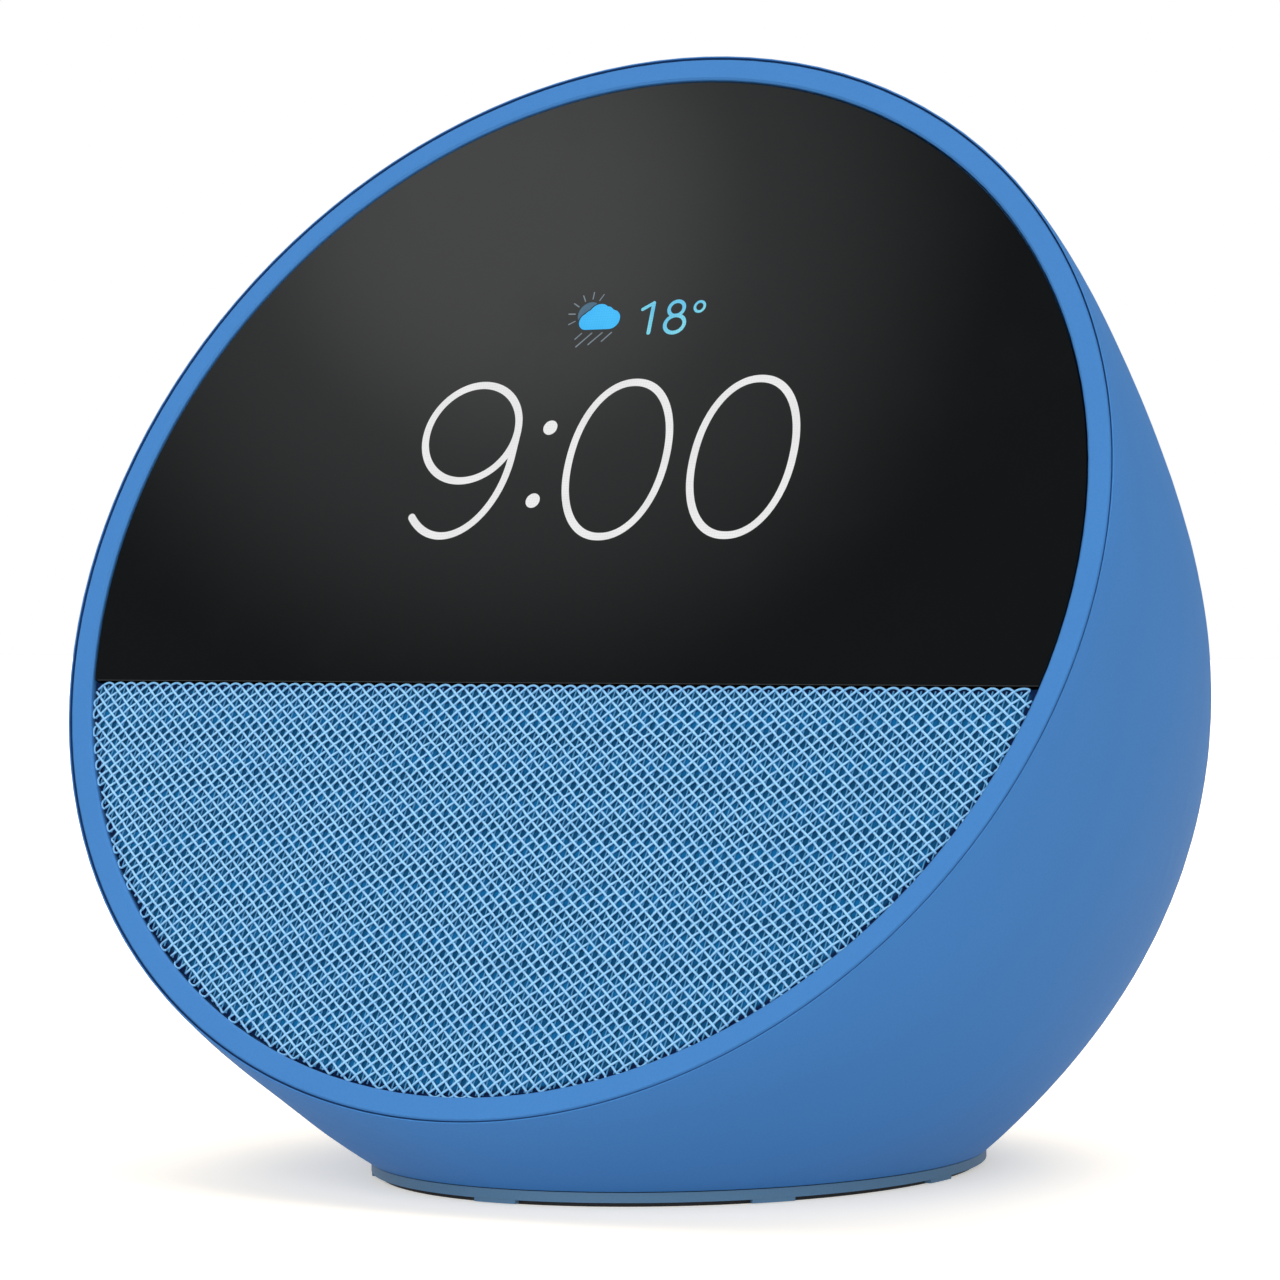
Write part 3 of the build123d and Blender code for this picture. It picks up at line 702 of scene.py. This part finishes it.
def arc(centre, radius_x, radius_v, start, end, steps, fullness=1.0):
    """Points (x, v) on an ellipse between two angles in degrees; below 1, fullness fills its corners."""
    points = []
    for i in range(steps + 1):
        turn = radians(start + (end - start) * i / steps)
        across, up = (copysign(abs(c) ** fullness, c) for c in (cos(turn), sin(turn)))
        points.append((centre[0] + radius_x * across, centre[1] + radius_v * up))
    return points


def draw(shape, outline, width, closed=False):
    """A flat stroke on the glass."""
    shape.tube([(x, v, ink_level) for x, v in outline], width, ink_high - ink_low, 8, closed, not closed)


clock = Shape()
zero_size = (5.42, 8.36)
for centre in ((2.96, 11.52), (16.86, 11.5)):
    draw(clock, arc(centre, *zero_size, 0, 357, 119, fullness=0.94), stroke, closed=True)
bowl_centre, bowl_radius = (-14.52, 14.78), 5.3     # the nine's bowl and tail
tail_centre, tail_size = (-15.2, 12.0), (6.0, 8.55)
draw(clock, arc(bowl_centre, bowl_radius, bowl_radius, 0, 357, 119), stroke, closed=True)
draw(clock, [(-9.2, 14.9)] + arc(tail_centre, *tail_size, 0, -131, 40), stroke)
for centre in ((-5.53, 15.14), (-5.53, 7.16)):
    clock.plate(arc(centre, 0.78, 0.78, 0, 350, 35), ink_low, ink_high)
clock.make("clock_figures", clock_light, "lens_glass")

cloud_heart = (-2.9, 26.9)
cloud_floor = 25.95
cloud_lobes = (((-4.2, 26.9), 0.95), ((-3.75, 27.15), 1.05), ((-3.05, 27.6), 1.2), ((-2.3, 27.5), 1.0),
               ((-1.6, 27.02), 1.07))
sun_centre, sun_radius = (-4.15, 27.72), 1.32


def reach(origin, turn, grow):
    """How far the cloud's edge, grown a little, lies from a place inside it."""
    far = 0.0
    for (x, v), radius in cloud_lobes:
        dx, dv = x - origin[0], v - origin[1]
        along = dx * cos(turn) + dv * sin(turn)
        aside = dx * sin(turn) - dv * cos(turn)
        if abs(aside) < radius + grow:
            far = max(far, along + sqrt((radius + grow) ** 2 - aside ** 2))
    if sin(turn) < 0:
        down = (cloud_floor - grow - origin[1]) / sin(turn)
        landing = origin[0] + down * cos(turn)
        over_floor = cloud_lobes[0][0][0] < landing < cloud_lobes[-1][0][0]
        far = down if over_floor else min(far, down)
    return far


def spoke(origin, turn, length):
    """The point (x, v) at a length from an origin, in the direction turn."""
    return origin[0] + length * cos(turn), origin[1] + length * sin(turn)


turns = [2 * pi * i / 96 for i in range(96)]
cloud = Shape()
cloud.plate([spoke(cloud_heart, t, reach(cloud_heart, t, 0)) for t in turns], ink_low, ink_high)
cloud.make("weather_cloud", cloud_light, "lens_glass", smooth=False)

cloud_gap = 0.14            # dark line between the cloud and the sun
sun = Shape()
shown = [t for t in turns if reach(sun_centre, t, cloud_gap) < sun_radius - 0.03]
inner = [spoke(sun_centre, t, reach(sun_centre, t, cloud_gap)) for t in shown]
outer = [spoke(sun_centre, t, sun_radius) for t in shown]
sun.plate(outer + inner[::-1], ink_low, ink_high)
sun.make("weather_sun", sun_light, "lens_glass", smooth=False)

rays = Shape()
for i in range(6):
    turn = radians(62 + 29 * i)
    draw(rays, [spoke(sun_centre, turn, r) for r in (1.68, 2.42)], 0.12)
for top, bottom in (((-4.56, 25.55), (-5.15, 24.95)), ((-3.38, 25.55), (-4.84, 24.08)),
                    ((-2.2, 25.55), (-3.5, 24.28)), ((-1.12, 25.55), (-2.04, 24.6))):
    draw(rays, [top, bottom], 0.15)
rays.make("weather_rays_and_rain", rain_light, "lens_glass")

temperature = Shape()
draw(temperature, [(1.86, 28.0), (2.9, 28.62)], 0.38)
draw(temperature, [(2.98, 28.66), (3.12, 25.35)], 0.43)
draw(temperature, arc((5.7, 27.95), 0.84, 0.8, 0, 345, 23), 0.4, closed=True)
draw(temperature, arc((5.86, 26.22), 1.08, 0.96, 0, 345, 23), 0.42, closed=True)
draw(temperature, arc((8.27, 28.06), 0.54, 0.56, 0, 340, 17), 0.3, closed=True)
temperature.make("weather_temperature", weather_light, "lens_glass")


# ---- icons on the buttons ----
def dress_button(button, body, joint, strokes):
    """Printed icon that follows the button's curved top; strokes are (x, back) lines from its middle."""
    node = frame["nodes"][button]
    out = travel(joint) * -1
    back = ACROSS.cross(out) * -1
    tree = BVHTree.FromPolygons([v.co for v in node.data.vertices], [p.vertices for p in node.data.polygons])
    middle_x = sum(span(button, ACROSS)) / 2
    middle_back = sum(span(button, back)) / 2
    above = span(button, out)[1] + 5

    def on_button(x, v, height):
        start = (ACROSS * (middle_x + x) + back * (middle_back + v) + out * above) * MM
        hit = tree.ray_cast(start, -out)[0]
        return hit + out * (height + 0.012) * MM

    icon = Shape()
    for line, closed in strokes:
        icon.tube([(x, v, 0) for x, v in line], 0.42, 0.04, 8, closed, not closed)
    icon.make(button.replace("button", "icon"), icon_ink, "button_plastic", body, on_button)


def straight(a, b, steps=8):
    """A straight line in short steps, so that it can follow a curved top."""
    return [(a[0] + (b[0] - a[0]) * i / steps, a[1] + (b[1] - a[1]) * i / steps) for i in range(steps + 1)]


bar = (straight((-1.5, 0), (1.5, 0)), False)
dress_button("volume_down_button", "volume_down", "volume_down_press", [bar])
dress_button("volume_up_button", "volume_up", "volume_up_press", [
    bar, (straight((0, -1.5), (0, -0.2)), False), (straight((0, 0.2), (0, 1.5)), False),
])
capsule = arc((0, 1.1), 0.62, 0.62, 0, 180, 8) + arc((0, -0.1), 0.62, 0.62, 180, 360, 8)
cradle = arc((0, 0.1), 1.35, 1.35, 190, 350, 14)
dress_button("microphone_button", "microphone", "microphone_press", [
    (capsule, True), (cradle, False), (straight((0, -1.3), (0, -2.0)), False),
])


# ---- floor, light and camera ----
def white_sweep(nodes, place):
    """Matt white backdrop paper, lit from below; it looks whiter than the light it throws on the object."""
    fibre = nodes.grain(place, 0.8)
    seen = nodes.add("LightPath", output="Is Camera Ray")
    paper = nodes.mix(fibre, shade(243, 229, 208), shade(245, 231, 210))
    return nodes.add("BsdfPrincipled", {}, {
        "Base Color": nodes.mix(seen, shade(180, 180, 180), paper),
        "Roughness": 0.9,
        "Specular IOR Level": 0.0,
        "Emission Color": shade(255, 255, 255),
        "Emission Strength": 0.41,
    })


floor_data = bpy.data.meshes.new("sweep")
floor_half = 8.0
floor_data.from_pydata([(x * floor_half, y * floor_half, 0) for x, y in ((-1, -1), (1, -1), (1, 1), (-1, 1))],
                       [], [(0, 1, 2, 3)])
floor_data.materials.append(finish("white_sweep", white_sweep))
floor = bpy.data.objects.new("sweep", floor_data)
bpy.context.scene.collection.objects.link(floor)

room_level = 0.12
panels = (                  # direction to a soft panel, its inner and outer angle in degrees, its brightness
    (Vector((0.00, 0.25, 1.00)), 5, 46, 2.8),       # overhead
    (Vector((0.95, -0.25, 0.25)), 5, 50, 1.35),     # right
    (Vector((-1.00, 0.25, 0.25)), 5, 50, 0.8),      # left
    (Vector((0.16, -0.91, 0.375)), 5, 34, 4.3),     # in front
    (Vector((0.10, 1.00, 0.30)), 5, 60, 0.25),      # behind
    (Vector((-0.524, -0.480, 0.703)), 0, 3.4, 0.5),     # the glare that the glass shows, bright middle
    (Vector((-0.524, -0.480, 0.703)), 0, 6.7, 0.58),    # and its soft edge
)
world = bpy.data.worlds.new("studio")
world.use_nodes = True
bpy.context.scene.world = world
sky = Nodes(world.node_tree)
looking = sky.add("TexCoord", output="Generated")
light = room_level
for direction, inner_angle, outer_angle, brightness in panels:
    facing = sky.dot(looking, direction.normalized())
    light = sky.step(facing, cos(radians(outer_angle)), cos(radians(inner_angle))) * brightness + light
seen = sky.add("LightPath", output="Is Camera Ray")
backdrop = sky.add("Background", {}, {"Color": [1, 1, 1, 1], "Strength": seen + (1 - seen) * light})
sky.add("OutputWorld", {}, {"Surface": backdrop})

camera_data = bpy.data.cameras.new("camera")
camera_data.lens = 126.5
camera_data.sensor_width = 36.0
camera_data.clip_start = 0.01
camera_data.clip_end = 50.0
camera = bpy.data.objects.new("camera", camera_data)
camera.location = (0.2231, -0.3948, 0.0535)
camera.rotation_euler = (radians(90 - 0.08), 0, radians(30.02))
bpy.context.scene.collection.objects.link(camera)
bpy.context.scene.camera = camera
bpy.context.scene.view_settings.view_transform = "Standard"
